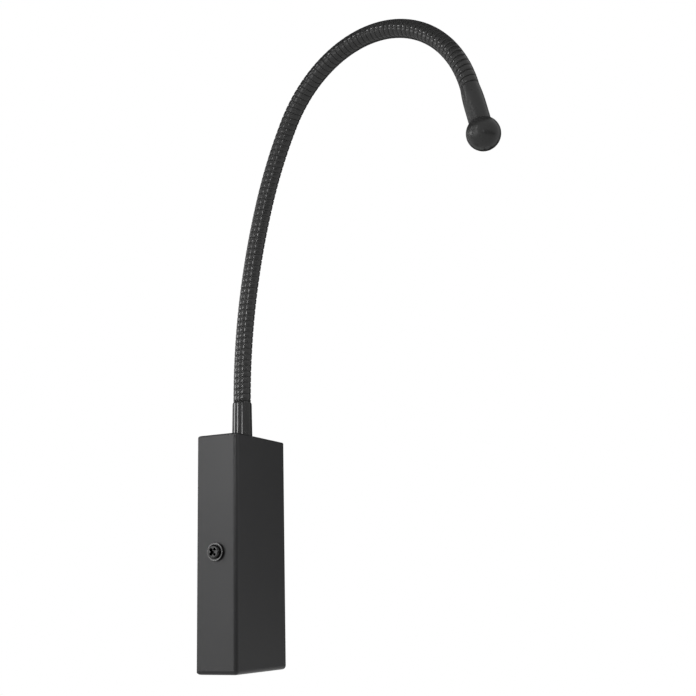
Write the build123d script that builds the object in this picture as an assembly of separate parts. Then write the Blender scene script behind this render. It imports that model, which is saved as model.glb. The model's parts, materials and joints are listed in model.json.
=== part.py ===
from build123d import *
import math
import os

# Gooseneck reading light for a wall: a slim steel box that hides the wiring, a ridged neck that
# stays where it is bent, and a small ball that holds the light. Millimetres, +Z up, +Y into the wall.
# The origin is on the wall face, midway between the two wall screws.

# Housing, a folded steel box that is open towards the wall
BOX_WIDTH = 45.0
BOX_DEPTH = 22.0
BOX_HEIGHT = 110.0
BOX_WALL = 1.2
FRONT_EDGE_R = 2.0
BOTTOM_EDGE_R = 1.9
TOP_EDGE_R = 0.8
REAR_EDGE_R = 0.8
REAR_CORNER_R = 2.0
LEAST_INNER_R = 0.1

# Wall plate, which the housing slides over
PLATE_THICK = 1.5
PLATE_GAP = 0.2
PLATE_CORNER_R = 2.0
WALL_SCREW_INSET = 13.0
WALL_SCREW_HOLE_R = 2.25
TAB_HEIGHT = 16.0
TAB_MARGIN = 5.0

# Bush in the plate's cable entry
CABLE_BORE_R = 3.0
BUSH_WALL = 2.0
BUSH_FLANGE_WIDTH = 1.5
BUSH_FLANGE_THICK = 1.5

# Pan-head screws with a collar, which hold the housing to the plate's side tabs
SCREW_R = 2.0
SCREW_LENGTH = 6.0
SCREW_HOLE_GAP = 0.2
SCREW_COLLAR_R = 4.25
SCREW_COLLAR_THICK = 1.5
SCREW_COLLAR_ROUND = 0.25
SCREW_HEAD_R = 3.2
SCREW_HEAD_HEIGHT = 3.1
SCREW_HEAD_ROUND = 0.8
RECESS_LENGTH = 4.2
RECESS_WIDTH = 1.5
RECESS_DEPTH = 1.8
RECESS_TAPER = 15.0
RECESS_TURN = 45.0

# Light driver, taped to the lower half of the plate
DRIVER_WIDTH = 32.0
DRIVER_DEPTH = 12.0
DRIVER_HEIGHT = 26.0
DRIVER_WALL = 1.2
DRIVER_LID_THICK = 1.2
DRIVER_BUSH_GAP = 1.0
PAD_THICK = 1.0
PAD_MARGIN = 2.0
BOARD_THICK = 1.6
BOARD_MARGIN = 0.5
TRANSFORMER_WIDTH = 10.0
TRANSFORMER_DEPTH = 5.0
TRANSFORMER_HEIGHT = 9.0
CAPACITOR_R = 2.4
CAPACITOR_LENGTH = 10.0
COMPONENT_SPREAD = 7.0

# Mains terminal block on the upper half of the plate
TERMINAL_WIDTH = 12.0
TERMINAL_DEPTH = 11.0
TERMINAL_HEIGHT = 18.0
TERMINAL_INSET = 21.0
TERMINAL_SIDE_GAP = 1.0
TERMINAL_POLE_SPACING = 6.0
TERMINAL_ENTRY_R = 1.4
TERMINAL_SCREW_R = 1.3
TERMINAL_SCREW_DEPTH = 4.0
TERMINAL_SCREW_SPACING = 10.0
SLOT_WIDTH = 0.5
SLOT_DEPTH = 0.6
FIXING_SCREW_R = 1.5
FIXING_HEAD_R = 2.2
FIXING_HEAD_HEIGHT = 1.4

# Earth screw on the plate, on the other side of the neck's lead
EARTH_SCREW_R = 2.0
EARTH_HEAD_R = 3.5
EARTH_HEAD_HEIGHT = 2.4
EARTH_WASHER_R = 4.5
EARTH_WASHER_THICK = 0.8
EARTH_SIDE_INSET = 9.5
EARTH_TOP_INSET = 33.0

# Leads
LEAD_R = 0.8
LEAD_STAND_OFF = 4.5
LEAD_ENTRY_INSET = 1.9
LEAD_INSERT = 5.0
LEAD_STRAIGHT_SHARE = 0.25
LEAD_BEND_SHARE = 0.45
NECK_CABLE_R = 1.2
NECK_CABLE_INSET = 7.0
CABLE_STRAIGHT_SHARE = 0.35

# Turned collar at the foot of the neck, with a threaded stub through the top of the housing
FERRULE_FOOT_R = 5.0
FERRULE_MOUTH_R = 4.72
FERRULE_LIP = 0.55
FERRULE_CHAMFER = 1.3
FERRULE_HEIGHT = 19.0
STUB_R = 4.0
STUB_LENGTH = 9.0
STUB_HOLE_GAP = 0.15
LOCK_WASHER_R = 7.0
LOCK_WASHER_THICK = 0.8
LOCK_WASHER_TEETH = 10
LOCK_TOOTH_DEPTH = 1.2
LOCK_TOOTH_WIDTH = 1.0
NUT_ACROSS_FLATS = 13.0
NUT_THICK = 5.0

# Gooseneck. Its middle line lies in one upright plane, which is swung to the side, and is three
# tangent arcs from the ferrule's mouth to the head's sleeve.
NECK_SWING = 15.0
FOOT_BEND_R = 295.0
FOOT_BEND_TURN = 20.0
MIDDLE_BEND_R = 186.0
MIDDLE_BEND_TURN = 12.2
CROWN_BEND_R = 61.0
CROWN_BEND_TURN = 133.9
CREST_R = 4.2
GROOVE_R = 3.5
CREST_WIDTH = 1.25
GROOVE_WIDTH = 0.2
NECK_LINKS = 20
RIBS_PER_LINK = 5
BORE_STEPS = 10
NECK_BORE_R = 1.6
LINK_BALL_R = 3.2
LINK_BALL_GAP = 0.1
TANG_R = 3.4
TANG_LENGTH = 8.0
TANG_END_GAP = 0.3

# Head: a sleeve that ends the neck, and the ball that holds the light
HEAD_REACH = 24.2
SLEEVE_R = 4.86
SLEEVE_MOUTH_R = 4.25
SLEEVE_NOSE_LENGTH = 9.5
BALL_R = 7.5
BALL_STEP = 0.2
HEAD_BORE_R = 4.0
LENS_LIP = 2.8
APERTURE_R = 1.7
LENS_COLLAR_THICK = 2.7
LENS_NOSE_SETBACK = 0.3
LENS_NOSE_ROUND = 0.4
LENS_POCKET_R = 1.9
LENS_POCKET_DEPTH = 1.3
LED_BOARD_THICK = 1.0
LED_CHIP_WIDTH = 2.2
LED_CHIP_THICK = 0.4
LED_DOME_R = 0.75
HEAT_SLUG_THICK = 2.0

# Clearances between pieces that fit in one another
FIT_GAP = 0.05
THREAD_GAP = 0.05
CUT_EXTRA = 1.0

# Places that several pieces share
INNER_HALF_WIDTH = BOX_WIDTH / 2 - BOX_WALL
INNER_TOP = BOX_HEIGHT / 2 - BOX_WALL
PLATE_HALF_WIDTH = INNER_HALF_WIDTH - PLATE_GAP
PLATE_HALF_HEIGHT = INNER_TOP - PLATE_GAP
PLATE_FRONT = -PLATE_THICK
NECK_Y = -BOX_DEPTH / 2
BUSH_R = CABLE_BORE_R + BUSH_WALL
BUSH_FLANGE_R = BUSH_R + BUSH_FLANGE_WIDTH
WALL_SCREW_Z = BOX_HEIGHT / 2 - WALL_SCREW_INSET
DRIVER_TOP = -BUSH_FLANGE_R - DRIVER_BUSH_GAP
DRIVER_BOTTOM = DRIVER_TOP - DRIVER_HEIGHT
DRIVER_MIDDLE = (DRIVER_BOTTOM + DRIVER_TOP) / 2
DRIVER_BACK = PLATE_FRONT - PAD_THICK
DRIVER_FRONT = DRIVER_BACK - DRIVER_DEPTH
TERMINAL_TOP = BOX_HEIGHT / 2 - TERMINAL_INSET
TERMINAL_BOTTOM = TERMINAL_TOP - TERMINAL_HEIGHT
TERMINAL_MIDDLE = (TERMINAL_TOP + TERMINAL_BOTTOM) / 2
TERMINAL_X = -(PLATE_HALF_WIDTH - TERMINAL_SIDE_GAP - TERMINAL_WIDTH / 2)
TERMINAL_FRONT = PLATE_FRONT - TERMINAL_DEPTH
EARTH_X = PLATE_HALF_WIDTH - EARTH_SIDE_INSET
EARTH_Z = BOX_HEIGHT / 2 - EARTH_TOP_INSET
LEAD_Y = PLATE_FRONT - LEAD_STAND_OFF
FERRULE_TOP = BOX_HEIGHT / 2 + FERRULE_HEIGHT
STUB_END = BOX_HEIGHT / 2 - STUB_LENGTH
TANG_BORE_R = TANG_R + FIT_GAP
NECK_BENDS = [
    (FOOT_BEND_R, FOOT_BEND_TURN),
    (MIDDLE_BEND_R, MIDDLE_BEND_TURN),
    (CROWN_BEND_R, CROWN_BEND_TURN),
]
NECK_LENGTH = sum(radius * math.radians(turn) for radius, turn in NECK_BENDS)
LINK_LENGTH = NECK_LENGTH / NECK_LINKS
RIB_PITCH = LINK_LENGTH / RIBS_PER_LINK
BALL_CENTRE = NECK_LENGTH + HEAD_REACH
# Along the head's axis, from the ball's centre: minus is towards the neck, plus towards the light
BALL_SEAT = -math.sqrt(BALL_R**2 - (SLEEVE_R + BALL_STEP) ** 2)
LENS_SEAT = BALL_R - LENS_LIP
LENS_FRONT = LENS_SEAT - FIT_GAP
LENS_BACK = LENS_FRONT - LENS_COLLAR_THICK
LED_BOARD_FRONT = LENS_BACK - FIT_GAP
LED_BOARD_BACK = LED_BOARD_FRONT - LED_BOARD_THICK
SLUG_FRONT = LED_BOARD_BACK - FIT_GAP
SLUG_BACK = SLUG_FRONT - HEAT_SLUG_THICK
SPIGOT_END = SLUG_BACK - FIT_GAP
HEAD_FIT_R = HEAD_BORE_R - FIT_GAP


def disc(radius, low, high):
    """Upright cylinder on the Z axis, from one height to another."""
    return Pos(0, 0, (low + high) / 2) * Cylinder(radius, high - low)


def block(x_low, x_high, y_low, y_high, z_low, z_high):
    """Square block between two corners."""
    middle = Pos((x_low + x_high) / 2, (y_low + y_high) / 2, (z_low + z_high) / 2)
    return middle * Box(x_high - x_low, y_high - y_low, z_high - z_low)


def turned(outline):
    """Solid turned about the Z axis from the closed outline of its half section."""
    return revolve(Plane.XZ * make_face(outline), Axis.Z)


def facing_room(x, y, z):
    """Place on the plate's front or further out, whose own Z points away from the wall."""
    return Plane(origin=(x, y, z), x_dir=(1, 0, 0), z_dir=(0, -1, 0)).location


def neck_point(along):
    """Forward reach, height and lean of the neck's middle line, counted from the ferrule's mouth."""
    reach = 0.0
    height = FERRULE_TOP
    lean = 0.0
    left = along
    if left > 0:
        for radius, turn in NECK_BENDS:
            step = min(left, radius * math.radians(turn))
            after = lean + step / radius
            reach += radius * (math.cos(lean) - math.cos(after))
            height += radius * (math.sin(after) - math.sin(lean))
            lean = after
            left -= step
    return reach + left * math.sin(lean), height + left * math.cos(lean), lean


def neck_spot(along):
    """Point on the neck's middle line."""
    reach, height, _ = neck_point(along)
    swing = math.radians(NECK_SWING)
    return Vector(-reach * math.sin(swing), NECK_Y - reach * math.cos(swing), height)


def neck_plane(along):
    """Plane square to the neck's middle line, with a steady X axis across the neck's own plane."""
    lean = neck_point(along)[2]
    swing = math.radians(NECK_SWING)
    forward = Vector(-math.sin(swing), -math.cos(swing), 0)
    onward = forward * math.sin(lean) + Vector(0, 0, math.cos(lean))
    across = Vector(math.cos(swing), -math.sin(swing), 0)
    return Plane(origin=neck_spot(along), x_dir=across, z_dir=onward)


def neck_edges(start, end):
    """Straight runs and arcs of the neck's middle line between two places on it."""
    stops = [0.0]
    for radius, turn in NECK_BENDS:
        stops.append(stops[-1] + radius * math.radians(turn))
    marks = [start] + [stop for stop in stops if start < stop < end] + [end]
    edges = []
    for low, high in zip(marks, marks[1:]):
        if high <= 0 or low >= NECK_LENGTH:
            edges.append(Line(neck_spot(low), neck_spot(high)))
        else:
            edges.append(ThreePointArc(neck_spot(low), neck_spot((low + high) / 2), neck_spot(high)))
    return edges


def neck_tube(radius, start, end):
    """Round bar along the neck's middle line."""
    return sweep(neck_plane(start) * Circle(radius), path=Wire(neck_edges(start, end)))


def on_head(shape):
    """Places a shape, made about the ball's centre, at the end of the neck."""
    return neck_plane(BALL_CENTRE).location * shape


def lead(points, radius):
    """Wire along a bent route, with each bend as wide as its runs allow."""
    runs = [Vector(*b) - Vector(*a) for a, b in zip(points, points[1:])]
    radii = []
    for before, after in zip(runs, runs[1:]):
        half_turn = math.radians(before.get_angle(after) / 2)
        radii.append(LEAD_BEND_SHARE * min(before.length, after.length) / math.tan(half_turn))
    route = FilletPolyline(*points, radius=radii)
    print("lead bends", [round(r, 1) for r in radii])
    return sweep(Plane(points[0], z_dir=runs[0]) * Circle(radius), path=route)


def cross_recess():
    """Cross-shaped driver recess with sloping flanks, open upwards at its own origin."""
    arm = Rot(180, 0, 0) * extrude(Rectangle(RECESS_LENGTH, RECESS_WIDTH), RECESS_DEPTH, taper=RECESS_TAPER)
    return Rot(0, 0, RECESS_TURN) * arm + Rot(0, 0, RECESS_TURN + 90) * arm


def slotted_screw(screw_r, length, head_r, head_height):
    """Small cheese-head screw, head up, with the underside of its head at its own origin."""
    slot = Pos(0, 0, head_height - SLOT_DEPTH / 2) * Box(2 * head_r, SLOT_WIDTH, SLOT_DEPTH)
    return disc(head_r, 0, head_height) + disc(screw_r, -length, 0) - slot


# Pieces of the housing
def make_housing_cover():
    shell = block(-BOX_WIDTH / 2, BOX_WIDTH / 2, -BOX_DEPTH, 0, -BOX_HEIGHT / 2, BOX_HEIGHT / 2)
    shell = fillet(shell.edges().filter_by(Axis.Z).group_by(Axis.Y)[0], FRONT_EDGE_R)
    bottom = shell.faces().sort_by(Axis.Z)[0].edges().sort_by(Axis.Y)[:-1]
    shell = fillet(bottom, BOTTOM_EDGE_R)
    top = shell.faces().sort_by(Axis.Z)[-1].edges().sort_by(Axis.Y)[:-1]
    shell = fillet(top, TOP_EDGE_R)
    rear = block(-BOX_WIDTH, BOX_WIDTH, -2 * BOX_DEPTH, 0, -BOX_HEIGHT / 2, BOX_HEIGHT / 2)
    shell &= fillet(rear.edges().filter_by(Axis.X).group_by(Axis.Y)[-1], REAR_CORNER_R)
    rear = block(-BOX_WIDTH / 2, BOX_WIDTH / 2, -2 * BOX_DEPTH, 0, -BOX_HEIGHT, BOX_HEIGHT)
    shell &= fillet(rear.edges().filter_by(Axis.Z).group_by(Axis.Y)[-1], REAR_EDGE_R)
    hollow = block(
        -INNER_HALF_WIDTH, INNER_HALF_WIDTH, -BOX_DEPTH + BOX_WALL, CUT_EXTRA, -INNER_TOP, INNER_TOP
    )
    inner_front_r = max(FRONT_EDGE_R - BOX_WALL, LEAST_INNER_R)
    hollow = fillet(hollow.edges().filter_by(Axis.Z).group_by(Axis.Y)[0], inner_front_r)
    stub_hole = Pos(0, NECK_Y, 0) * disc(STUB_R + STUB_HOLE_GAP, INNER_TOP - CUT_EXTRA, BOX_HEIGHT)
    screw_holes = Pos(0, NECK_Y, 0) * Rot(0, 90, 0) * Cylinder(SCREW_R + SCREW_HOLE_GAP, 2 * BOX_WIDTH)
    return shell - hollow - stub_hole - screw_holes


def make_back_plate():
    plate = block(
        -PLATE_HALF_WIDTH, PLATE_HALF_WIDTH, PLATE_FRONT, 0, -PLATE_HALF_HEIGHT, PLATE_HALF_HEIGHT
    )
    plate = fillet(plate.edges().filter_by(Axis.Y), PLATE_CORNER_R)
    tab_reach = NECK_Y - SCREW_R - TAB_MARGIN
    for side in (-1, 1):
        outer = side * PLATE_HALF_WIDTH
        inner = side * (PLATE_HALF_WIDTH - PLATE_THICK)
        low = min(outer, inner)
        high = max(outer, inner)
        plate += block(low, high, tab_reach, PLATE_FRONT, -TAB_HEIGHT / 2, TAB_HEIGHT / 2)
    plate -= Pos(0, NECK_Y, 0) * Rot(0, 90, 0) * Cylinder(SCREW_R + THREAD_GAP, 2 * BOX_WIDTH)
    holes = [
        (0, WALL_SCREW_Z, WALL_SCREW_HOLE_R),
        (0, -WALL_SCREW_Z, WALL_SCREW_HOLE_R),
        (0, 0, BUSH_R + FIT_GAP),
        (TERMINAL_X, TERMINAL_MIDDLE, FIXING_SCREW_R + THREAD_GAP),
        (EARTH_X, EARTH_Z, EARTH_SCREW_R + THREAD_GAP),
    ]
    for x, z, radius in holes:
        plate -= Pos(x, 0, z) * Rot(90, 0, 0) * Cylinder(radius, 2 * PLATE_THICK + CUT_EXTRA)
    return plate


def make_cover_screws():
    collar = disc(SCREW_COLLAR_R, 0, SCREW_COLLAR_THICK)
    collar = fillet(collar.edges().sort_by(Axis.Z)[-1:], SCREW_COLLAR_ROUND)
    head = disc(SCREW_HEAD_R, 0, SCREW_HEAD_HEIGHT)
    head = fillet(head.edges().sort_by(Axis.Z)[-1:], SCREW_HEAD_ROUND)
    head -= Pos(0, 0, SCREW_HEAD_HEIGHT) * cross_recess()
    screw = head + collar + disc(SCREW_R, -SCREW_LENGTH, 0)
    placed = []
    for side in (-1, 1):
        seat = Plane(origin=(side * BOX_WIDTH / 2, NECK_Y, 0), x_dir=(0, 1, 0), z_dir=(side, 0, 0))
        placed.append(seat.location * screw)
    return Compound(children=placed)


def make_cable_grommet():
    flange_top = PLATE_THICK + BUSH_FLANGE_THICK
    bush = disc(BUSH_R, 0, PLATE_THICK) + disc(BUSH_FLANGE_R, PLATE_THICK, flange_top)
    bush -= disc(CABLE_BORE_R, -CUT_EXTRA, flange_top + CUT_EXTRA)
    return facing_room(0, 0, 0) * bush


# Pieces of the driver
def make_driver_pad():
    half_width = DRIVER_WIDTH / 2 - PAD_MARGIN
    low = DRIVER_BOTTOM + PAD_MARGIN
    high = DRIVER_TOP - PAD_MARGIN
    return block(-half_width, half_width, DRIVER_BACK, PLATE_FRONT, low, high)


def make_driver_case():
    half_width = DRIVER_WIDTH / 2
    case = block(-half_width, half_width, DRIVER_FRONT, DRIVER_BACK, DRIVER_BOTTOM, DRIVER_TOP)
    case -= block(
        -half_width + DRIVER_WALL,
        half_width - DRIVER_WALL,
        DRIVER_FRONT - CUT_EXTRA,
        DRIVER_BACK - DRIVER_WALL,
        DRIVER_BOTTOM + DRIVER_WALL,
        DRIVER_TOP - DRIVER_WALL,
    )
    return case


def make_driver_board():
    half_width = DRIVER_WIDTH / 2 - DRIVER_WALL - BOARD_MARGIN
    floor = DRIVER_BACK - DRIVER_WALL
    face = floor - BOARD_THICK
    low = DRIVER_BOTTOM + DRIVER_WALL + BOARD_MARGIN
    high = DRIVER_TOP - DRIVER_WALL - BOARD_MARGIN
    board = block(-half_width, half_width, face, floor, low, high)
    board += block(
        -COMPONENT_SPREAD - TRANSFORMER_WIDTH / 2,
        -COMPONENT_SPREAD + TRANSFORMER_WIDTH / 2,
        face - TRANSFORMER_DEPTH,
        face,
        DRIVER_MIDDLE - TRANSFORMER_HEIGHT / 2,
        DRIVER_MIDDLE + TRANSFORMER_HEIGHT / 2,
    )
    capacitor = Cylinder(CAPACITOR_R, CAPACITOR_LENGTH)
    return board + Pos(COMPONENT_SPREAD, face - CAPACITOR_R / 2, DRIVER_MIDDLE) * capacitor


def make_driver_lid():
    half_width = DRIVER_WIDTH / 2
    front = DRIVER_FRONT - DRIVER_LID_THICK
    return block(-half_width, half_width, front, DRIVER_FRONT, DRIVER_BOTTOM, DRIVER_TOP)


# Pieces of the mains connection
def terminal_spots():
    """Where the clamping screws sit, as offsets from the block's middle."""
    return [
        (x * TERMINAL_POLE_SPACING / 2, z * TERMINAL_SCREW_SPACING / 2) for x in (-1, 1) for z in (-1, 1)
    ]


def make_terminal_block():
    half_width = TERMINAL_WIDTH / 2
    half_height = TERMINAL_HEIGHT / 2
    body = block(-half_width, half_width, -half_height, half_height, 0, TERMINAL_DEPTH)
    for side in (-1, 1):
        entry = Rot(90, 0, 0) * Cylinder(TERMINAL_ENTRY_R, TERMINAL_HEIGHT + CUT_EXTRA)
        body -= Pos(side * TERMINAL_POLE_SPACING / 2, 0, LEAD_STAND_OFF) * entry
    for x, z in terminal_spots():
        seat = TERMINAL_DEPTH - TERMINAL_SCREW_DEPTH
        body -= Pos(x, z, 0) * disc(TERMINAL_SCREW_R + FIT_GAP, seat, TERMINAL_DEPTH + CUT_EXTRA)
    body -= disc(FIXING_SCREW_R + THREAD_GAP, -CUT_EXTRA, TERMINAL_DEPTH + CUT_EXTRA)
    return facing_room(TERMINAL_X, PLATE_FRONT, TERMINAL_MIDDLE) * body


def make_terminal_screws():
    screw = disc(TERMINAL_SCREW_R, 0, TERMINAL_SCREW_DEPTH)
    screw -= Pos(0, 0, TERMINAL_SCREW_DEPTH - SLOT_DEPTH / 2) * Box(
        2 * TERMINAL_SCREW_R, SLOT_WIDTH, SLOT_DEPTH
    )
    seat = TERMINAL_DEPTH - TERMINAL_SCREW_DEPTH
    place = facing_room(TERMINAL_X, PLATE_FRONT, TERMINAL_MIDDLE)
    return Compound(children=[place * Pos(x, z, seat) * screw for x, z in terminal_spots()])


def make_terminal_fixing_screw():
    length = TERMINAL_DEPTH + PLATE_THICK
    screw = slotted_screw(FIXING_SCREW_R, length, FIXING_HEAD_R, FIXING_HEAD_HEIGHT)
    return facing_room(TERMINAL_X, TERMINAL_FRONT, TERMINAL_MIDDLE) * screw


def make_earth_washer():
    ring = disc(EARTH_WASHER_R, 0, EARTH_WASHER_THICK)
    ring -= disc(EARTH_SCREW_R + THREAD_GAP, -CUT_EXTRA, EARTH_WASHER_THICK + CUT_EXTRA)
    return facing_room(EARTH_X, PLATE_FRONT, EARTH_Z) * ring


def make_earth_screw():
    length = EARTH_WASHER_THICK + PLATE_THICK
    screw = slotted_screw(EARTH_SCREW_R, length, EARTH_HEAD_R, EARTH_HEAD_HEIGHT)
    return facing_room(EARTH_X, PLATE_FRONT - EARTH_WASHER_THICK, EARTH_Z) * screw


def make_mains_lead(side):
    """Lead from one pole of the terminal block down to the driver, whose live entry is outermost."""
    top_x = TERMINAL_X + side * TERMINAL_POLE_SPACING / 2
    low_x = -DRIVER_WIDTH / 2 + LEAD_ENTRY_INSET + (side + 1) * TERMINAL_POLE_SPACING / 2
    drop = TERMINAL_BOTTOM - DRIVER_TOP
    points = [
        (top_x, LEAD_Y, TERMINAL_BOTTOM + LEAD_INSERT),
        (top_x, LEAD_Y, TERMINAL_BOTTOM - LEAD_STRAIGHT_SHARE * drop),
        (low_x, LEAD_Y, DRIVER_TOP + LEAD_STRAIGHT_SHARE * drop),
        (low_x, LEAD_Y, DRIVER_TOP),
    ]
    return lead(points, LEAD_R)


# Pieces at the foot of the neck
def make_neck_ferrule():
    outline = Polyline(
        (0, BOX_HEIGHT / 2),
        (FERRULE_FOOT_R, BOX_HEIGHT / 2),
        (FERRULE_MOUTH_R, FERRULE_TOP - FERRULE_CHAMFER),
        (TANG_BORE_R + FERRULE_LIP, FERRULE_TOP),
        (0, FERRULE_TOP),
        close=True,
    )
    collar = turned(outline) + disc(STUB_R, STUB_END, BOX_HEIGHT / 2)
    collar -= disc(TANG_BORE_R, FERRULE_TOP - TANG_LENGTH - TANG_END_GAP, FERRULE_TOP + CUT_EXTRA)
    collar -= disc(NECK_BORE_R, STUB_END - CUT_EXTRA, FERRULE_TOP)
    return Pos(0, NECK_Y, 0) * collar


def make_ferrule_washer():
    low = INNER_TOP - LOCK_WASHER_THICK
    ring = disc(LOCK_WASHER_R, low, INNER_TOP)
    ring -= disc(STUB_R + STUB_HOLE_GAP, low - CUT_EXTRA, INNER_TOP + CUT_EXTRA)
    gap = Box(2 * LOCK_TOOTH_DEPTH, LOCK_TOOTH_WIDTH, 2 * LOCK_WASHER_THICK)
    gap = Pos(LOCK_WASHER_R, 0, low + LOCK_WASHER_THICK / 2) * gap
    for tooth in range(LOCK_WASHER_TEETH):
        ring -= Rot(0, 0, tooth * 360 / LOCK_WASHER_TEETH) * gap
    return Pos(0, NECK_Y, 0) * ring


def make_ferrule_nut():
    top = INNER_TOP - LOCK_WASHER_THICK
    hexagon = RegularPolygon(NUT_ACROSS_FLATS / 2, 6, major_radius=False)
    nut = Pos(0, 0, top - NUT_THICK) * extrude(hexagon, NUT_THICK)
    nut -= disc(STUB_R + THREAD_GAP, top - NUT_THICK - CUT_EXTRA, top + CUT_EXTRA)
    return Pos(0, NECK_Y, 0) * nut


def make_neck_cable():
    """Lead from the driver up through the stub and the neck's bore to the light's board."""
    rise = STUB_END - DRIVER_TOP
    low_x = DRIVER_WIDTH / 2 - NECK_CABLE_INSET
    points = [
        (low_x, NECK_Y, DRIVER_TOP),
        (low_x, NECK_Y, DRIVER_TOP + CABLE_STRAIGHT_SHARE * rise),
        (0, NECK_Y, STUB_END - CABLE_STRAIGHT_SHARE * rise),
        (0, NECK_Y, STUB_END),
    ]
    foot = lead(points, NECK_CABLE_R)
    neck_start = STUB_END - FERRULE_TOP
    return foot + neck_tube(NECK_CABLE_R, neck_start, BALL_CENTRE + LED_BOARD_BACK - FIT_GAP)


# Pieces of the neck
def rib_rings(link):
    """Place and radius of every ring of one link's ridges: two on each crest, two in each groove."""
    rings = []
    if link == 0:
        rings.append((-TANG_LENGTH, TANG_R))
        rings.append((0, TANG_R))
        rings.append((GROOVE_WIDTH / 2, GROOVE_R))
    for rib in range(RIBS_PER_LINK):
        middle = (rib + 0.5) * RIB_PITCH
        rings.append((middle - CREST_WIDTH / 2, CREST_R))
        rings.append((middle + CREST_WIDTH / 2, CREST_R))
        if rib < RIBS_PER_LINK - 1 or link == NECK_LINKS - 1:
            groove = (rib + 1) * RIB_PITCH
            rings.append((groove - GROOVE_WIDTH / 2, GROOVE_R))
        if rib < RIBS_PER_LINK - 1:
            rings.append((groove + GROOVE_WIDTH / 2, GROOVE_R))
    if link == NECK_LINKS - 1:
        rings.append((LINK_LENGTH, TANG_R))
        rings.append((LINK_LENGTH + TANG_LENGTH, TANG_R))
    return rings


def make_neck_link(link):
    """One stretch of the neck. Its upper end is a bead that turns in the socket of the next link."""
    start = link * LINK_LENGTH
    end = start + LINK_LENGTH
    bore_start = start - TANG_LENGTH - CUT_EXTRA if link == 0 else start
    bore_end = end + TANG_LENGTH + CUT_EXTRA
    body = loft([neck_plane(start + along) * Circle(radius) for along, radius in rib_rings(link)], ruled=True)
    if link < NECK_LINKS - 1:
        body += Pos(neck_spot(end)) * Sphere(LINK_BALL_R)
        bore_end = end + LINK_BALL_R + CUT_EXTRA
    if link > 0:
        body -= Pos(neck_spot(start)) * Sphere(LINK_BALL_R + LINK_BALL_GAP)
    stops = [bore_start + (bore_end - bore_start) * step / BORE_STEPS for step in range(BORE_STEPS + 1)]
    return body - loft([neck_plane(stop) * Circle(NECK_BORE_R) for stop in stops], ruled=True)


# Pieces of the head, made about the ball's centre with the light along +Z
def make_head_sleeve():
    mouth = (SLEEVE_MOUTH_R, -HEAD_REACH)
    shoulder = (SLEEVE_R, -HEAD_REACH + SLEEVE_NOSE_LENGTH)
    outline = [
        Polyline(mouth, (0, -HEAD_REACH), (0, BALL_SEAT), (SLEEVE_R, BALL_SEAT), shoulder),
        TangentArc(shoulder, mouth, tangent=(0, -1)),
    ]
    sleeve = turned(outline) + disc(HEAD_FIT_R, BALL_SEAT, SPIGOT_END)
    sleeve -= disc(TANG_BORE_R, -HEAD_REACH - CUT_EXTRA, -HEAD_REACH + TANG_LENGTH + TANG_END_GAP)
    sleeve -= disc(NECK_BORE_R, -HEAD_REACH, SPIGOT_END + CUT_EXTRA)
    return on_head(sleeve)


def make_ball_head():
    ball = Sphere(BALL_R)
    ball -= disc(BALL_R, -2 * BALL_R, BALL_SEAT)
    ball -= disc(HEAD_BORE_R, -BALL_R, LENS_SEAT)
    ball -= disc(APERTURE_R, 0, BALL_R + CUT_EXTRA)
    return on_head(ball)


def make_heat_slug():
    slug = disc(HEAD_FIT_R, SLUG_BACK, SLUG_FRONT)
    slug -= disc(NECK_BORE_R, SLUG_BACK - CUT_EXTRA, SLUG_FRONT + CUT_EXTRA)
    return on_head(slug)


def make_led_board():
    return on_head(disc(HEAD_FIT_R, LED_BOARD_BACK, LED_BOARD_FRONT))


def make_led_chip():
    top = LED_BOARD_FRONT + LED_CHIP_THICK
    half_width = LED_CHIP_WIDTH / 2
    chip = block(-half_width, half_width, -half_width, half_width, LED_BOARD_FRONT, top)
    dome = Pos(0, 0, top) * Sphere(LED_DOME_R) - disc(LED_CHIP_WIDTH, top - LED_CHIP_WIDTH, top)
    return on_head(chip + dome)


def make_lens():
    nose_end = BALL_R - LENS_NOSE_SETBACK
    nose = disc(APERTURE_R - FIT_GAP, LENS_BACK, nose_end)
    nose = fillet(nose.edges().sort_by(Axis.Z)[-1:], LENS_NOSE_ROUND)
    lens = disc(HEAD_FIT_R, LENS_BACK, LENS_FRONT) + nose
    lens -= disc(LENS_POCKET_R, LENS_BACK - CUT_EXTRA, LENS_BACK + LENS_POCKET_DEPTH)
    return on_head(lens)


pieces = {
    "housing_cover": make_housing_cover(),
    "back_plate": make_back_plate(),
    "cover_screws": make_cover_screws(),
    "cable_grommet": make_cable_grommet(),
    "driver_pad": make_driver_pad(),
    "driver_case": make_driver_case(),
    "driver_board": make_driver_board(),
    "driver_lid": make_driver_lid(),
    "terminal_block": make_terminal_block(),
    "terminal_screws": make_terminal_screws(),
    "terminal_fixing_screw": make_terminal_fixing_screw(),
    "earth_washer": make_earth_washer(),
    "earth_screw": make_earth_screw(),
    "live_lead": make_mains_lead(-1),
    "neutral_lead": make_mains_lead(1),
    "neck_ferrule": make_neck_ferrule(),
    "ferrule_washer": make_ferrule_washer(),
    "ferrule_nut": make_ferrule_nut(),
    "neck_cable": make_neck_cable(),
    "head_sleeve": make_head_sleeve(),
    "ball_head": make_ball_head(),
    "heat_slug": make_heat_slug(),
    "led_board": make_led_board(),
    "led_chip": make_led_chip(),
    "lens": make_lens(),
}
for link in range(NECK_LINKS):
    pieces[f"neck_link_{link + 1:02d}"] = make_neck_link(link)

os.makedirs("parts", exist_ok=True)
for name, piece in pieces.items():
    export_step(piece, f"parts/{name}.step")
print("rib pitch", round(RIB_PITCH, 3), "neck length", round(NECK_LENGTH, 2), "pieces", len(pieces))
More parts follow.
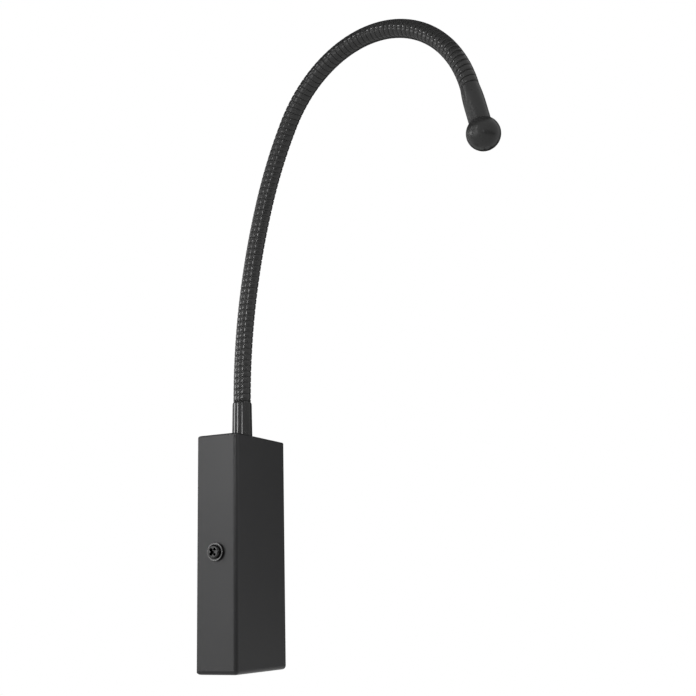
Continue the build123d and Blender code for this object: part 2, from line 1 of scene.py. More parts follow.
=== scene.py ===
# %% [markdown]
# # Gooseneck reading light
#
# A small wall light: a slim painted steel box, a ridged neck that stays where it is bent, and a ball
# that holds the light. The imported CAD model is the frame. It gives every size and place, so nothing
# has to be fitted here. This lesson winds the neck from its two strips, gives each piece the finish
# that the real one has, and sets up the camera, the lamps and the floor.

# %% Load the frame
import bmesh
import bpy
import json
import math
from mathutils import Matrix, Vector


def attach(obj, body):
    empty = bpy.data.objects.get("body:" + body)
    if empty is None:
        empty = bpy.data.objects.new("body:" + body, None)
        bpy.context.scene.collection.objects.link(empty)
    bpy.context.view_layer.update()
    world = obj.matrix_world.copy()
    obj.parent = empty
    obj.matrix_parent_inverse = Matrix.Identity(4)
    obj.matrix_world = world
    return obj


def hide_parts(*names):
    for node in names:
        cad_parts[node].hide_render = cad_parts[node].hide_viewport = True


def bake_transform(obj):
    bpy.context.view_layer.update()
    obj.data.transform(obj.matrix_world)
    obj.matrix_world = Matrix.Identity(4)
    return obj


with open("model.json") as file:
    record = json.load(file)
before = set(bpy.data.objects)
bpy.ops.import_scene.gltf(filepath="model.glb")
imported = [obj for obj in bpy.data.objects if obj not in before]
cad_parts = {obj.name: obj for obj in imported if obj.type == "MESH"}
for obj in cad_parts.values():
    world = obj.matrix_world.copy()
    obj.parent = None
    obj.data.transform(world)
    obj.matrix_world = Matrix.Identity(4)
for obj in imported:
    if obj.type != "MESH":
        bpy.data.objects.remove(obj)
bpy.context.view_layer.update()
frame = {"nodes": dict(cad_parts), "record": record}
nodes = frame["nodes"]
MM = 0.001

# %% [markdown]
# ## Camera
#
# The photograph looks up at the light from its left and from a little below. The camera's place, its
# turn and its focal length come from the corners of the box in the photograph, because the box is
# square and its three sizes are known. A camera looks along its own -Z with +Y upwards, so its matrix
# is its right, up and backward directions, side by side.

# %% Camera
YAW, PITCH_UP, ROLL = math.radians(63.086), math.radians(12.774), math.radians(-1.399)
FOCAL_PIXELS, FRAME_PIXELS, SENSOR = 1119.0, 696, 36.0
CAMERA_PLACE = Vector((-463.08, -305.6, -23.95)) * MM
NEAR_CLIP = 10 * MM

level_looking = Vector((math.sin(YAW), math.cos(YAW), 0))
looking = level_looking * math.cos(PITCH_UP) + Vector((0, 0, math.sin(PITCH_UP)))
level_right = Vector((math.cos(YAW), -math.sin(YAW), 0))
level_up = level_right.cross(looking)
right = level_right * math.cos(ROLL) + level_up * math.sin(ROLL)
up = level_up * math.cos(ROLL) - level_right * math.sin(ROLL)

camera = bpy.data.objects.new("camera", bpy.data.cameras.new("camera"))
camera.data.sensor_width = SENSOR
camera.data.lens = FOCAL_PIXELS / FRAME_PIXELS * SENSOR
camera.data.clip_start = NEAR_CLIP
turn = Matrix((right, up, -looking)).transposed().to_4x4()
camera.matrix_world = Matrix.Translation(CAMERA_PLACE) @ turn
bpy.context.scene.collection.objects.link(camera)
bpy.context.scene.camera = camera
print("lens", round(camera.data.lens, 2), "mm")

# %% [markdown]
# ## Colours and nodes
#
# Colours are written as they look on a screen, in sRGB hex. A shader works in linear light, so one
# function turns them. A second function adds a node, sets its properties, and fills or links its
# sockets, which keeps each finish below down to the few lines that make it what it is. A Mix node has a
# set of sockets for each kind of value, so the numbers of those for colours get names. A noise seldom
# leaves its middle values, and those are what a Map Range node spreads over a range of roughness.

# %% Helpers for finishes
MIX_FACTOR, MIX_FROM, MIX_TO, MIX_RESULT = 0, 6, 7, 2
NOISE_RANGE = {"From Min": 0.3, "From Max": 0.7}


def linear(hex_colour):
    """Linear RGBA of an sRGB colour such as 2a2a2c."""
    parts = [int(hex_colour[at:at + 2], 16) / 255 for at in (0, 2, 4)]
    return (*(c / 12.92 if c <= 0.04045 else ((c + 0.055) / 1.055) ** 2.4 for c in parts), 1.0)


def add(tree, kind, sockets=None, **settings):
    """Adds a node. Sockets, by name or number, take a value or the output that feeds them."""
    node = tree.nodes.new(kind)
    for name, value in settings.items():
        setattr(node, name, value)
    for name, value in (sockets or {}).items():
        if isinstance(value, bpy.types.NodeSocket):
            tree.links.new(value, node.inputs[name])
        else:
            node.inputs[name].default_value = value
    return node


def begin(name, colour, roughness, **sockets):
    """New finish: its node tree, its shader and the object's own coordinates."""
    material = bpy.data.materials.new(name)
    material.use_nodes = True
    tree = material.node_tree
    shader = tree.nodes["Principled BSDF"]
    shader.inputs["Base Color"].default_value = linear(colour)
    shader.inputs["Roughness"].default_value = roughness
    for socket, value in sockets.items():
        shader.inputs[socket.replace("_", " ")].default_value = value
    place = add(tree, "ShaderNodeTexCoord").outputs["Object"]
    return material, tree, shader, place


def per_mm(size):
    """Scale of a pattern whose grains are this many millimetres wide."""
    return 1 / (size * MM)


finishes = {}
print("white is", linear("ffffff"))

# %% [markdown]
# ## Powder coat on the box
#
# The box is folded steel sheet under a satin black powder coat. Powder melts into a skin that is never
# quite flat: it keeps a soft orange-peel of about a millimetre and a fine grit. That breaks up the
# reflections on the two big faces, so the bump matters more than the colour. The real grit is about
# 0.1 mm, and is drawn at 0.35 mm to show at all.

# %% Powder coat
material, tree, shader, place = begin("satin_powder_coat", "262627", 0.36, IOR=1.5, Specular_IOR_Level=0.26)
peel = add(tree, "ShaderNodeTexNoise", {"Vector": place, "Scale": per_mm(1.4), "Detail": 1.0})
grit = add(tree, "ShaderNodeTexNoise", {"Vector": place, "Scale": per_mm(0.35), "Detail": 2.0})
cloud = add(tree, "ShaderNodeTexNoise", {"Vector": place, "Scale": per_mm(22.0), "Detail": 2.0})
waves = add(tree, "ShaderNodeBump", {"Height": peel.outputs["Fac"], "Strength": 0.25, "Distance": 0.02 * MM})
skin = add(tree, "ShaderNodeBump", {
    "Height": grit.outputs["Fac"], "Strength": 0.35, "Distance": 0.02 * MM,
    "Normal": waves.outputs["Normal"]})
tone = add(tree, "ShaderNodeMix", {
    MIX_FACTOR: cloud.outputs["Fac"], MIX_FROM: linear("242425"), MIX_TO: linear("282829")},
    data_type="RGBA")
sheen = add(tree, "ShaderNodeMapRange", {
    **NOISE_RANGE, "Value": grit.outputs["Fac"], "To Min": 0.32, "To Max": 0.4})
tree.links.new(tone.outputs[MIX_RESULT], shader.inputs["Base Color"])
tree.links.new(sheen.outputs["Result"], shader.inputs["Roughness"])
tree.links.new(skin.outputs["Normal"], shader.inputs["Normal"])
finishes["housing_paint"] = material
print("finish", material.name)

# %% [markdown]
# ## Satin lacquer on the ball and its sleeve
#
# The ball and the sleeve are turned metal under a thinner, smoother lacquer than the box. Its peel is
# longer and shallower, so the highlights on the ball stay soft but whole.

# %% Satin lacquer
material, tree, shader, place = begin("satin_black_lacquer", "2f2f2f", 0.3, IOR=1.5, Specular_IOR_Level=0.22)
peel = add(tree, "ShaderNodeTexNoise", {"Vector": place, "Scale": per_mm(2.5), "Detail": 1.0})
grit = add(tree, "ShaderNodeTexNoise", {"Vector": place, "Scale": per_mm(0.4), "Detail": 2.0})
waves = add(tree, "ShaderNodeBump", {"Height": peel.outputs["Fac"], "Strength": 0.2, "Distance": 0.02 * MM})
skin = add(tree, "ShaderNodeBump", {
    "Height": grit.outputs["Fac"], "Strength": 0.2, "Distance": 0.01 * MM, "Normal": waves.outputs["Normal"]})
sheen = add(tree, "ShaderNodeMapRange", {
    **NOISE_RANGE, "Value": peel.outputs["Fac"], "To Min": 0.27, "To Max": 0.33})
tree.links.new(sheen.outputs["Result"], shader.inputs["Roughness"])
tree.links.new(skin.outputs["Normal"], shader.inputs["Normal"])
finishes["head_paint"] = material
print("finish", material.name)

# %% [markdown]
# ## Gloss lacquer on the ferrule
#
# The ferrule is a turned collar under a gloss black lacquer, the shiniest piece of the light: each lamp
# stands on it as a sharp upright line. Turning leaves fine rings, which the lacquer nearly fills. They
# run round the ferrule, so a band pattern along Z draws them, about 3 mm apart, far coarser than the real
# ones. A Wave node draws 20 bands in each 2 pi of its scaled coordinate, which gives its scale.

# %% Gloss lacquer
RING_SPACING = 3.14
material, tree, shader, place = begin("gloss_black_lacquer", "2a2a2a", 0.08, IOR=1.5, Specular_IOR_Level=0.18)
rings = add(tree, "ShaderNodeTexWave", {
    "Vector": place, "Scale": per_mm(RING_SPACING) * 2 * math.pi / 20, "Distortion": 0.4, "Detail": 1.0},
    bands_direction="Z")
lathe = add(tree, "ShaderNodeBump", {
    "Height": rings.outputs["Fac"], "Strength": 0.005, "Distance": 0.01 * MM})
dust = add(tree, "ShaderNodeTexNoise", {"Vector": place, "Scale": per_mm(3.0), "Detail": 3.0})
sheen = add(tree, "ShaderNodeMapRange", {
    **NOISE_RANGE, "Value": dust.outputs["Fac"], "To Min": 0.07, "To Max": 0.1})
tree.links.new(sheen.outputs["Result"], shader.inputs["Roughness"])
tree.links.new(lathe.outputs["Normal"], shader.inputs["Normal"])
finishes["collar_black"] = material
print("finish", material.name)

# %% [markdown]
# ## Lacquered steel strip of the neck
#
# The neck's broad strip is rolled steel, blackened and lacquered. The rounded shoulders of every turn
# catch each lamp as one bright bead. Rolling leaves a faint skin, and handling rubs the ridges a little
# smoother in places, so the roughness wanders along the neck.

# %% Strip lacquer
material, tree, shader, place = begin(
    "lacquered_steel_strip", "343434", 0.17, IOR=1.5, Specular_IOR_Level=0.18)
rub = add(tree, "ShaderNodeTexNoise", {"Vector": place, "Scale": per_mm(9.0), "Detail": 3.0})
skin = add(tree, "ShaderNodeTexNoise", {"Vector": place, "Scale": per_mm(0.5), "Detail": 2.0})
drawn = add(tree, "ShaderNodeBump", {"Height": skin.outputs["Fac"], "Strength": 0.03, "Distance": 0.01 * MM})
sheen = add(tree, "ShaderNodeMapRange", {
    **NOISE_RANGE, "Value": rub.outputs["Fac"], "To Min": 0.14, "To Max": 0.2})
tree.links.new(sheen.outputs["Result"], shader.inputs["Roughness"])
tree.links.new(drawn.outputs["Normal"], shader.inputs["Normal"])
finishes["neck_black"] = material
print("finish", material.name)

# %% [markdown]
# ## Metal inside and behind
#
# The wall plate, the nuts and the washers are zinc-plated steel: a pale metal with a faint spangle, here
# 3 mm wide. The cover screws are steel with a black oxide, still a metal but a dark one. The terminal's
# screws are brass, and the slug behind the light is turned aluminium. A metal keeps the default IOR.

# %% Metals
ROUGHNESS_SWING = 0.06
for slot, name, dark, light, rough, grain in (
    ("plate_steel", "zinc_plated_steel", "a3a5a6", "b9bbbc", 0.36, 3.0),
    ("screw_black", "black_oxide_steel", "2c2c2c", "343434", 0.27, 0.8),
    ("terminal_brass", "machined_brass", "b08d4a", "c39f58", 0.3, 1.0),
    ("slug_aluminium", "turned_aluminium", "c2c3c4", "d2d3d4", 0.32, 0.8),
):
    material, tree, shader, place = begin(name, light, rough, Metallic=1.0)
    spangle = add(tree, "ShaderNodeTexVoronoi", {"Vector": place, "Scale": per_mm(grain)})
    scuff = add(tree, "ShaderNodeTexNoise", {"Vector": place, "Scale": per_mm(0.4), "Detail": 3.0})
    tone = add(tree, "ShaderNodeMix", {
        MIX_FACTOR: spangle.outputs["Color"], MIX_FROM: linear(dark), MIX_TO: linear(light)},
        data_type="RGBA")
    sheen = add(tree, "ShaderNodeMapRange", {
        **NOISE_RANGE, "Value": scuff.outputs["Fac"],
        "To Min": rough - ROUGHNESS_SWING, "To Max": rough + ROUGHNESS_SWING})
    pits = add(tree, "ShaderNodeBump", {
        "Height": scuff.outputs["Fac"], "Strength": 0.15, "Distance": 0.01 * MM})
    tree.links.new(tone.outputs[MIX_RESULT], shader.inputs["Base Color"])
    tree.links.new(sheen.outputs["Result"], shader.inputs["Roughness"])
    tree.links.new(pits.outputs["Normal"], shader.inputs["Normal"])
    finishes[slot] = material
print("finishes", list(finishes))

# %% [markdown]
# ## Painted highlight on the screws' collars
#
# The collars' rims are painted a lighter grey than the black oxide. This is a painted highlight that stands
# in for the light their flat rims catch. Both screws lie on one axis along X, so the distance from that axis
# tells where a rim is.
# A Mapping node brings the axis to the origin and flattens X, and the length of what is left is that
# distance.

# %% Painted highlight on the collars' rims
SCREW_AXIS_Y, RIM_START_R, RIM_R = -11 * MM, 3.5 * MM, 3.9 * MM
tree = finishes["screw_black"].node_tree
shader = tree.nodes["Principled BSDF"]
oxide = shader.inputs["Base Color"].links[0].from_socket
axis = add(tree, "ShaderNodeMapping", {
    "Vector": tree.nodes["Texture Coordinate"].outputs["Object"],
    "Location": (0, -SCREW_AXIS_Y, 0), "Scale": (0, 1, 1)})
distance = add(tree, "ShaderNodeVectorMath", {0: axis.outputs["Vector"]}, operation="LENGTH")
# Painted highlight: between these radii the rims are painted a lighter grey, in place of the light they
# catch.
lightened = add(tree, "ShaderNodeMapRange", {
    "Value": distance.outputs["Value"], "From Min": RIM_START_R, "From Max": RIM_R})
painted_rim_highlight = add(tree, "ShaderNodeMix", {
    MIX_FACTOR: lightened.outputs["Result"], MIX_FROM: oxide, MIX_TO: linear("4c4c4c")}, data_type="RGBA")
tree.links.new(painted_rim_highlight.outputs[MIX_RESULT], shader.inputs["Base Color"])
print("rims worn beyond", round(RIM_START_R / MM, 1), "mm")

# %% [markdown]
# ## Plastics, rubber and boards inside the box
#
# The driver's case is white ABS with a spark-eroded texture, the terminal block is natural polyamide,
# the bush is rubber, the leads are PVC, and the boards wear solder mask. All are moulded or coated, so
# they share one recipe: a fine grain that moves the colour a little and gives a soft bump. What differs
# is the colour, the gloss and the width of the grain in millimetres.

# %% Plastics, rubber and boards
for slot, name, dark, light, rough, grain, depth in (
    ("bush_rubber", "moulded_rubber", "171717", "202020", 0.7, 0.6, 0.3),
    ("foam_tape", "closed_cell_foam", "bdbdb8", "d6d6d0", 0.9, 0.5, 0.8),
    ("driver_plastic", "spark_eroded_abs", "dcdcd7", "e6e6e1", 0.5, 0.4, 0.3),
    ("circuit_board", "green_solder_mask", "0f4423", "16552d", 0.3, 1.2, 0.15),
    ("terminal_plastic", "natural_polyamide", "d6d3c6", "e2dfd3", 0.42, 0.7, 0.15),
    ("live_insulation", "brown_pvc", "43230f", "4f2b15", 0.4, 0.8, 0.15),
    ("neutral_insulation", "blue_pvc", "1a3f93", "224aa3", 0.4, 0.8, 0.15),
    ("cable_jacket", "black_pvc", "161616", "1e1e1e", 0.45, 0.8, 0.2),
    ("led_substrate", "white_solder_mask", "e4e4df", "f0f0ec", 0.3, 1.2, 0.1),
    ("led_phosphor", "phosphor_silicone", "d6a92a", "e6bd3e", 0.3, 0.3, 0.1),
):
    material, tree, shader, place = begin(name, light, rough, IOR=1.5)
    grains = add(tree, "ShaderNodeTexNoise", {"Vector": place, "Scale": per_mm(grain), "Detail": 2.0})
    tone = add(tree, "ShaderNodeMix", {
        MIX_FACTOR: grains.outputs["Fac"], MIX_FROM: linear(dark), MIX_TO: linear(light)},
        data_type="RGBA")
    skin = add(tree, "ShaderNodeBump", {
        "Height": grains.outputs["Fac"], "Strength": depth, "Distance": 0.05 * MM})
    tree.links.new(tone.outputs[MIX_RESULT], shader.inputs["Base Color"])
    tree.links.new(skin.outputs["Normal"], shader.inputs["Normal"])
    finishes[slot] = material
print(len(finishes), "finishes")

# %% [markdown]
# ## Smoked lens
#
# The lens is moulded acrylic, with an IOR of 1.49. It is smoked and etched to a satin, so that the light's
# mouth is only a faint dark spot on the ball while it is off. Etching makes it rougher than the lacquer
# around it, and the smoke lets only a quarter of the light through.

# %% Smoked lens
material, tree, shader, place = begin(
    "smoked_acrylic", "28282a", 0.45, IOR=1.49, Specular_IOR_Level=0.25, Transmission_Weight=0.25)
ripple = add(tree, "ShaderNodeTexNoise", {"Vector": place, "Scale": per_mm(1.5), "Detail": 1.0})
skin = add(tree, "ShaderNodeBump", {"Height": ripple.outputs["Fac"], "Strength": 0.05, "Distance": 0.01 * MM})
tree.links.new(skin.outputs["Normal"], shader.inputs["Normal"])
finishes["lens_clear"] = material
print("finish", material.name)

# %% [markdown]
# ## Finishes on the CAD solids
#
# The record gives every piece a material slot, and each finish above is filed under such a slot. So one
# loop can dress all the solids. The pieces that are modelled below get their finish as they are made.

# %% Finishes on the CAD solids
for subpart in frame["record"]["subparts"]:
    mesh = nodes[subpart["node"]].data
    mesh.materials.clear()
    mesh.materials.append(finishes[subpart["material_slot"]])

# %% [markdown]
# ## The neck's middle line
#
# A gooseneck holds any bend it is given. This one rises from the ferrule, leans forward in two gentle
# bends and turns over in a tight one, all in one upright plane that is swung a little to the side.
# A straight piece that is modelled about the Z axis can be laid along that line: its height becomes
# the way along the neck, and its X and Y stay square to it.

# %% Lay a straight piece along the neck
NECK_FOOT = Vector((0, -11, 74)) * MM
SWING = math.radians(15.0)
BENDS = ((295.0 * MM, 20.0), (186.0 * MM, 12.2), (61.0 * MM, 133.9))
LINKS, TURNS_PER_LINK = 20, 5
NECK_LENGTH = sum(radius * math.radians(bend) for radius, bend in BENDS)
LINK = NECK_LENGTH / LINKS
TURN_PITCH = LINK / TURNS_PER_LINK
FORWARD = Vector((-math.sin(SWING), -math.cos(SWING), 0))
ACROSS = Vector((math.cos(SWING), -math.sin(SWING), 0))
UP = Vector((0, 0, 1))
HARD_EDGE = math.radians(45)


def neck_at(along):
    """Point of the neck's middle line and the way it goes on there, counted from the ferrule's mouth."""
    reach = height = lean = 0.0
    if along > 0:
        for radius, bend in BENDS:
            step = min(along, radius * math.radians(bend))
            after = lean + step / radius
            reach += radius * (math.cos(lean) - math.cos(after))
            height += radius * (math.sin(after) - math.sin(lean))
            lean, along = after, along - step
    onward = FORWARD * math.sin(lean) + UP * math.cos(lean)
    return NECK_FOOT + FORWARD * reach + UP * height + onward * along, onward


def lay_along_neck(bm):
    """Bends a straight piece, whose Z is counted from the ferrule's mouth, onto the middle line."""
    for vert in bm.verts:
        spot, onward = neck_at(vert.co.z)
        vert.co = spot + ACROSS * vert.co.x + onward.cross(ACROSS) * vert.co.y


def object_from(bm, name, material):
    """New object in the scene, from a mesh that is ready."""
    mesh = bpy.data.meshes.new(name)
    bm.to_mesh(mesh)
    bm.free()
    mesh.materials.append(material)
    made = bpy.data.objects.new(name, mesh)
    bpy.context.scene.collection.objects.link(made)
    return made


def piece_from(bm, name, slot):
    """Finished piece from a mesh: facing outwards, and smooth except at its hard edges."""
    bmesh.ops.recalc_face_normals(bm, faces=bm.faces[:])
    for face in bm.faces:
        face.smooth = True
    for edge in bm.edges:
        edge.smooth = edge.is_manifold and edge.calc_face_angle() < HARD_EDGE
    return object_from(bm, name, finishes[slot])


print("neck", round(NECK_LENGTH / MM, 1), "mm, a ridge every", round(TURN_PITCH / MM, 2), "mm")

# %% [markdown]
# ## Winding the neck
#
# The neck is two strips wound together: a broad one with rounded shoulders, whose turns are the ridges,
# and a slim one that lies behind the groove between them and locks the turns by friction. Each section
# is a flat rectangle, and a vertex bevel rounds its shoulders. Both are drawn side by side, half a pitch
# apart, and the spin operator turns them about Z and shifts them a little at every step, which winds
# them. The neck is wound in stretches from the middle of one link to the middle of the next, so that
# neighbouring stretches always meet. The first stretch goes with the base and the last with the head;
# the stretches between stay where they are laid.

# %% Sections of the two strips
RIDGE_R, RIDGE_INNER_R, RIDGE_WIDTH, SHOULDER_R = 4.3 * MM, 2.4 * MM, 2.74 * MM, 0.42 * MM
LOCK_R, LOCK_INNER_R, LOCK_WIDTH = 3.92 * MM, 2.1 * MM, 0.7 * MM
SHOULDER_SEGMENTS = 4


def draw_section(bm, inner_r, outer_r, width, height):
    """Outline of a strip in X and Z, about one height. Gives back the two vertices of its shoulders."""
    verts = bmesh.ops.create_grid(bm, x_segments=1, y_segments=1, size=0.5)["verts"]
    bmesh.ops.rotate(bm, matrix=Matrix.Rotation(math.radians(90), 3, "X"), verts=verts)
    bmesh.ops.scale(bm, vec=(outer_r - inner_r, 1, width), verts=verts)
    bmesh.ops.translate(bm, vec=((inner_r + outer_r) / 2, 0, height), verts=verts)
    return sorted(verts, key=lambda vert: vert.co.x)[-2:]


def draw_strips(bm):
    """The ridged strip about height 0, and the lock strip half a pitch above it."""
    draw_section(bm, LOCK_INNER_R, LOCK_R, LOCK_WIDTH, TURN_PITCH / 2)
    shoulders = draw_section(bm, RIDGE_INNER_R, RIDGE_R, RIDGE_WIDTH, 0)
    bmesh.ops.bevel(
        bm, geom=shoulders, offset=SHOULDER_R, segments=SHOULDER_SEGMENTS, profile=0.5,
        affect="VERTICES", material=-1)
    bmesh.ops.delete(bm, geom=bm.faces[:], context="FACES_ONLY")


print("gap between two ridges", round((TURN_PITCH - RIDGE_WIDTH) / MM, 2), "mm")

# %% Wind them, and lay them along the neck
STEPS_PER_TURN = 48


def winding(start, end):
    """Both strips of one stretch of the neck, still straight."""
    bm = bmesh.new()
    draw_strips(bm)
    steps = round((end - start) / TURN_PITCH * STEPS_PER_TURN)
    phase = start / TURN_PITCH * 2 * math.pi
    bmesh.ops.rotate(bm, matrix=Matrix.Rotation(phase, 3, "Z"), verts=bm.verts)
    bmesh.ops.translate(bm, vec=(0, 0, start), verts=bm.verts)
    bmesh.ops.spin(
        bm, geom=bm.verts[:] + bm.edges[:], axis=(0, 0, 1), dvec=(0, 0, (end - start) / steps),
        angle=steps / STEPS_PER_TURN * 2 * math.pi, steps=steps)
    bmesh.ops.holes_fill(bm, edges=bm.edges[:], sides=0)
    return bm


def trim(bm, height, keep_above):
    """Grinds the winding flat at one height, where it sits on a collar."""
    bmesh.ops.bisect_plane(
        bm, geom=bm.verts[:] + bm.edges[:] + bm.faces[:], plane_co=(0, 0, height), plane_no=(0, 0, 1),
        clear_inner=keep_above, clear_outer=not keep_above)
    bmesh.ops.holes_fill(bm, edges=bm.edges[:], sides=0)


bodies = ["base"] + [f"neck_{link:02d}" for link in range(2, LINKS)] + ["head"]
BLEND_REACH, COLLAR_GAP = 5.0 * MM, 0.02 * MM


def bend_at_joint(piece):
    """Bakes the piece's place into its mesh; the piece neither follows a body nor bends."""
    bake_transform(piece)


triangles = 0
for stretch in range(LINKS + 1):
    start = max((stretch - 0.5) * LINK, -TURN_PITCH)
    end = min((stretch + 0.5) * LINK, NECK_LENGTH + TURN_PITCH)
    bm = winding(start, end)
    if stretch == 0:
        trim(bm, COLLAR_GAP, True)
    if stretch == LINKS:
        trim(bm, NECK_LENGTH - COLLAR_GAP, False)
    lay_along_neck(bm)
    piece = piece_from(bm, f"neck_winding_{stretch:02d}", "neck_black")
    if 0 < stretch < LINKS:
        bend_at_joint(piece)
        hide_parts(f"neck_link_{stretch:02d}")
    else:
        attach(piece, bodies[0] if stretch == 0 else bodies[-1])
        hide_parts(f"neck_link_{max(stretch, 1):02d}")
    triangles += sum(len(face.vertices) - 2 for face in piece.data.polygons)
print(LINKS + 1, "stretches of winding,", triangles, "triangles")

# %% [markdown]
# ## The lead inside the neck
#
# A low-voltage lead climbs from the driver, through the ferrule and the neck's bore, to the light. It
# hardly shows, and it is cut at the same places as the winding. Its foot, in the box, is a smooth spline
# from the driver to the stub.

# %% The lead's foot
LEAD_R, MERGE_DISTANCE = 1.2 * MM, 0.001 * MM
BOX_MIDDLE_Y, DRIVER_LEAD_X = -11, 9
DRIVER_TOP, TURNS_INWARD, MEETS_AXIS, STUB_END, IN_FERRULE, FERRULE_MOUTH = -7.5, 11.2, 27.3, 46, 62, 74
foot_points = [(DRIVER_LEAD_X, BOX_MIDDLE_Y, height) for height in (DRIVER_TOP, TURNS_INWARD)]
foot_points += [(0, BOX_MIDDLE_Y, height) for height in (MEETS_AXIS, STUB_END, IN_FERRULE, FERRULE_MOUTH)]
foot_points.append(neck_at(LINK / 2)[0] / MM)
curve = bpy.data.curves.new("lead_foot", "CURVE")
curve.dimensions = "3D"
curve.bevel_depth, curve.bevel_resolution, curve.use_fill_caps = LEAD_R, 3, True
spline = curve.splines.new("NURBS")
spline.points.add(len(foot_points) - 1)
for point, spot in zip(spline.points, foot_points):
    point.co = (*(Vector(spot) * MM), 1)
spline.order_u, spline.use_endpoint_u, spline.resolution_u = 3, True, 8
route = bpy.data.objects.new("lead_foot", curve)
bm = bmesh.new()
bm.from_mesh(bpy.data.meshes.new_from_object(route))
bpy.data.objects.remove(route)
bmesh.ops.remove_doubles(bm, verts=bm.verts[:], dist=MERGE_DISTANCE)
foot = piece_from(bm, "neck_lead_00", "cable_jacket")
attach(foot, "base")
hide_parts("neck_cable")
print("lead foot", len(foot.data.polygons), "faces")

# %% The lead through the neck
HEAD_REACH, BOARD_BACK = 24.2 * MM, 0.85 * MM
LEAD_END = NECK_LENGTH + HEAD_REACH + BOARD_BACK
LEAD_SIDES, LEAD_CUTS = 12, 9
for stretch in range(1, LINKS + 1):
    start = (stretch - 0.5) * LINK
    end = (stretch + 0.5) * LINK if stretch < LINKS else LEAD_END
    bm = bmesh.new()
    bmesh.ops.create_cone(
        bm, cap_ends=True, segments=LEAD_SIDES, radius1=LEAD_R, radius2=LEAD_R, depth=end - start)
    along = [edge for edge in bm.edges if abs(edge.verts[0].co.z - edge.verts[1].co.z) > LEAD_R]
    bmesh.ops.subdivide_edges(bm, edges=along, cuts=LEAD_CUTS)
    bmesh.ops.translate(bm, vec=(0, 0, (start + end) / 2), verts=bm.verts)
    lay_along_neck(bm)
    piece = piece_from(bm, f"neck_lead_{stretch:02d}", "cable_jacket")
    if stretch < LINKS:
        bend_at_joint(piece)
    else:
        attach(piece, "head")
    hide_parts("neck_cable")
print(LINKS, "stretches of lead")

# %% [markdown]
# ## Floor and backdrop
#
# The photograph is a cut-out on plain white, with no floor to be seen. The floor lies well below, so
# that its shadow stays out of the picture. Floor and world show white to the camera, and to
# reflections, through the Light Path node, and light the object only softly.

# %% Floor and world
FLOOR_Z, FLOOR_HALF_WIDTH = -1.2, 6.0
SOFT_LIGHT, PLAIN_WHITE = 0.6, 1.0


def white_to_camera(tree, lit, white):
    """Mixes from a lit shader to plain white for rays from the camera, a mirror or a glass."""
    path = add(tree, "ShaderNodeLightPath")
    seen = add(tree, "ShaderNodeMath", {
        0: path.outputs["Is Camera Ray"], 1: path.outputs["Is Glossy Ray"]}, operation="MAXIMUM")
    seen = add(tree, "ShaderNodeMath", {
        0: seen.outputs[0], 1: path.outputs["Is Transmission Ray"]}, operation="MAXIMUM")
    return add(tree, "ShaderNodeMixShader", {0: seen.outputs[0], 1: lit, 2: white})


world = bpy.data.worlds.new("studio")
bpy.context.scene.world = world
world.use_nodes = True
tree = world.node_tree
tree.nodes.clear()
dim = add(tree, "ShaderNodeBackground", {"Color": linear("ffffff"), "Strength": SOFT_LIGHT})
white = add(tree, "ShaderNodeBackground", {"Color": linear("ffffff"), "Strength": PLAIN_WHITE})
mixed = white_to_camera(tree, dim.outputs[0], white.outputs[0])
add(tree, "ShaderNodeOutputWorld", {"Surface": mixed.outputs[0]})

material, tree, shader = begin("pale_floor", "f2f2f0", 0.8)[:3]
glow = add(tree, "ShaderNodeEmission", {"Color": linear("ffffff"), "Strength": PLAIN_WHITE})
mixed = white_to_camera(tree, shader.outputs[0], glow.outputs[0])
tree.links.new(mixed.outputs[0], tree.nodes["Material Output"].inputs["Surface"])
bm = bmesh.new()
bmesh.ops.create_grid(bm, x_segments=1, y_segments=1, size=FLOOR_HALF_WIDTH)
bmesh.ops.translate(bm, vec=(0, 0, FLOOR_Z), verts=bm.verts)
object_from(bm, "floor", material)
print("floor at", FLOOR_Z, "m")

# %% [markdown]
# ## Lamps
#
# A glossy black piece shows little but the lamps that it mirrors, so each highlight in the photograph
# gives the direction of one lamp: the surface there faces half-way between the camera and that lamp.
# Small softboxes stand in those directions. Each has a honeycomb grid, which is the lamp's spread, so it
# lights the spot that it faces and fades around it, as the beads on the neck do in the photograph. A broad
# softbox without a grid brightens the side of the box. A small one lights the other side, from below, and
# is kept out of reflections, because the box's rounded bottom edge would mirror it as a white line. Their
# brightness is written against white, which is 1, and gives the power: a flat lamp of power P and area A
# has a brightness of P / (pi A), and a grid with a half angle of a brightens it by tan a / (tan a - a).

# %% Lamps
BOX_MIDDLE, FERRULE = Vector((0, -11, 0)) * MM, NECK_FOOT - UP * 10 * MM
LOW_NECK, APEX = neck_at(40 * MM)[0], neck_at(225 * MM)[0]
BALL = neck_at(NECK_LENGTH + HEAD_REACH)[0]


def softbox(name, target, azimuth, elevation, distance, size, spread, brightness):
    """Lamp that faces a spot from one direction, in degrees from +X and from level, and metres away."""
    lamp = bpy.data.lights.new(name, "AREA")
    lamp.shape, lamp.spread = "RECTANGLE", math.radians(spread)
    lamp.size, lamp.size_y = size
    half = lamp.spread / 2
    lamp.energy = brightness * math.pi * size[0] * size[1] * (1 - half / math.tan(half))
    stand = bpy.data.objects.new(name, lamp)
    turn, rise = math.radians(azimuth), math.radians(elevation)
    away = Vector((math.cos(turn) * math.cos(rise), math.sin(turn) * math.cos(rise), math.sin(rise)))
    facing = away.to_track_quat("Z", "Y").to_matrix().to_4x4()
    stand.matrix_world = Matrix.Translation(target + away * distance) @ facing
    bpy.context.scene.collection.objects.link(stand)
    print(name, "at", [round(c, 2) for c in stand.location])
    return stand


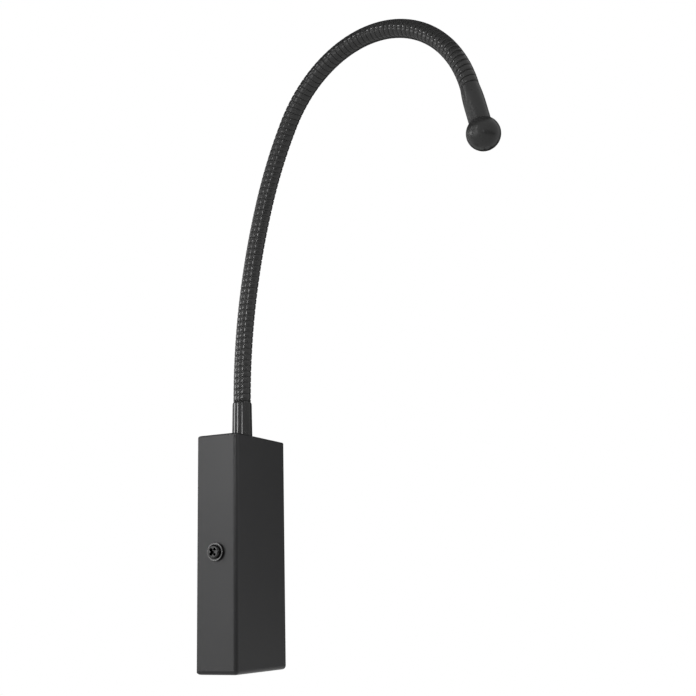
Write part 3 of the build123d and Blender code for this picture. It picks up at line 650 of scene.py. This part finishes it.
softbox("broad_side_softbox", FERRULE, 150, -4, 2.0, (0.9, 0.7), 170, 3.0)
softbox("side_softbox", FERRULE, 156, 10, 0.9, (0.2, 0.13), 26, 26)
softbox("rear_softbox", FERRULE, 111, 11, 0.9, (0.25, 0.22), 26, 18)
softbox("low_softbox", LOW_NECK, 211, -2.4, 0.45, (0.07, 0.14), 36, 26)
softbox("ferrule_softbox", FERRULE, 211, 9, 0.45, (0.04, 0.06), 10, 40)
softbox("ball_side_softbox", BALL, 154, 22, 0.5, (0.05, 0.05), 20, 40)
softbox("ball_rear_softbox", BALL, 115, 8, 0.5, (0.06, 0.06), 20, 22)
softbox("top_softbox", APEX, 121, 27, 0.5, (0.07, 0.05), 22, 24)
far_side = softbox("far_side_softbox", BOX_MIDDLE, 8, -35, 0.8, (0.12, 0.12), 24, 160)
far_side.visible_glossy = False

# %% [markdown]
# ## Dark surround
#
# Black on white needs something dark to mirror, or its edges melt into the background. A studio stands
# black felt around the backdrop for that. Here three flat ovals of felt do it, which only reflections
# see: one behind the light, a little to the right, for the front of the box and the rounded edges on that
# side, one overhead for the top edges of the box and the neck, and a low strip in front, which draws the
# dark line down the box's upright edge. Each one faces a spot a third of the way along the neck.

# %% Dark surround
black_felt = begin("black_felt", "0c0c0c", 0.9)[0]
FELT_AIM, FELT_SIDES = neck_at(NECK_LENGTH / 3)[0], 48
for name, offset, half_width, half_height in (
    ("rear_felt", looking * 0.8 + right * 0.24 + up * 0.02, 0.86, 0.86),
    ("overhead_felt", looking * 0.35 - right * 0.25 + up * 0.8, 0.9, 0.9),
    ("front_felt", Vector((-0.42, -0.63, -0.16)), 0.8, 0.13),
):
    bm = bmesh.new()
    bmesh.ops.create_circle(bm, cap_ends=True, segments=FELT_SIDES, radius=1)
    bmesh.ops.scale(bm, vec=(half_width, half_height, 1), verts=bm.verts)
    bmesh.ops.rotate(bm, matrix=offset.to_track_quat("Z", "Y").to_matrix(), verts=bm.verts)
    bmesh.ops.translate(bm, vec=FELT_AIM + offset, verts=bm.verts)
    felt = object_from(bm, name, black_felt)
    felt.visible_camera = felt.visible_diffuse = False
    print(name, "at", [round(c, 2) for c in FELT_AIM + offset])

# %% [markdown]
# ## View transform
#
# The Standard view transform shows a colour as it is written.

# %% View transform
bpy.context.scene.view_settings.view_transform = "Standard"
bpy.context.view_layer.update()
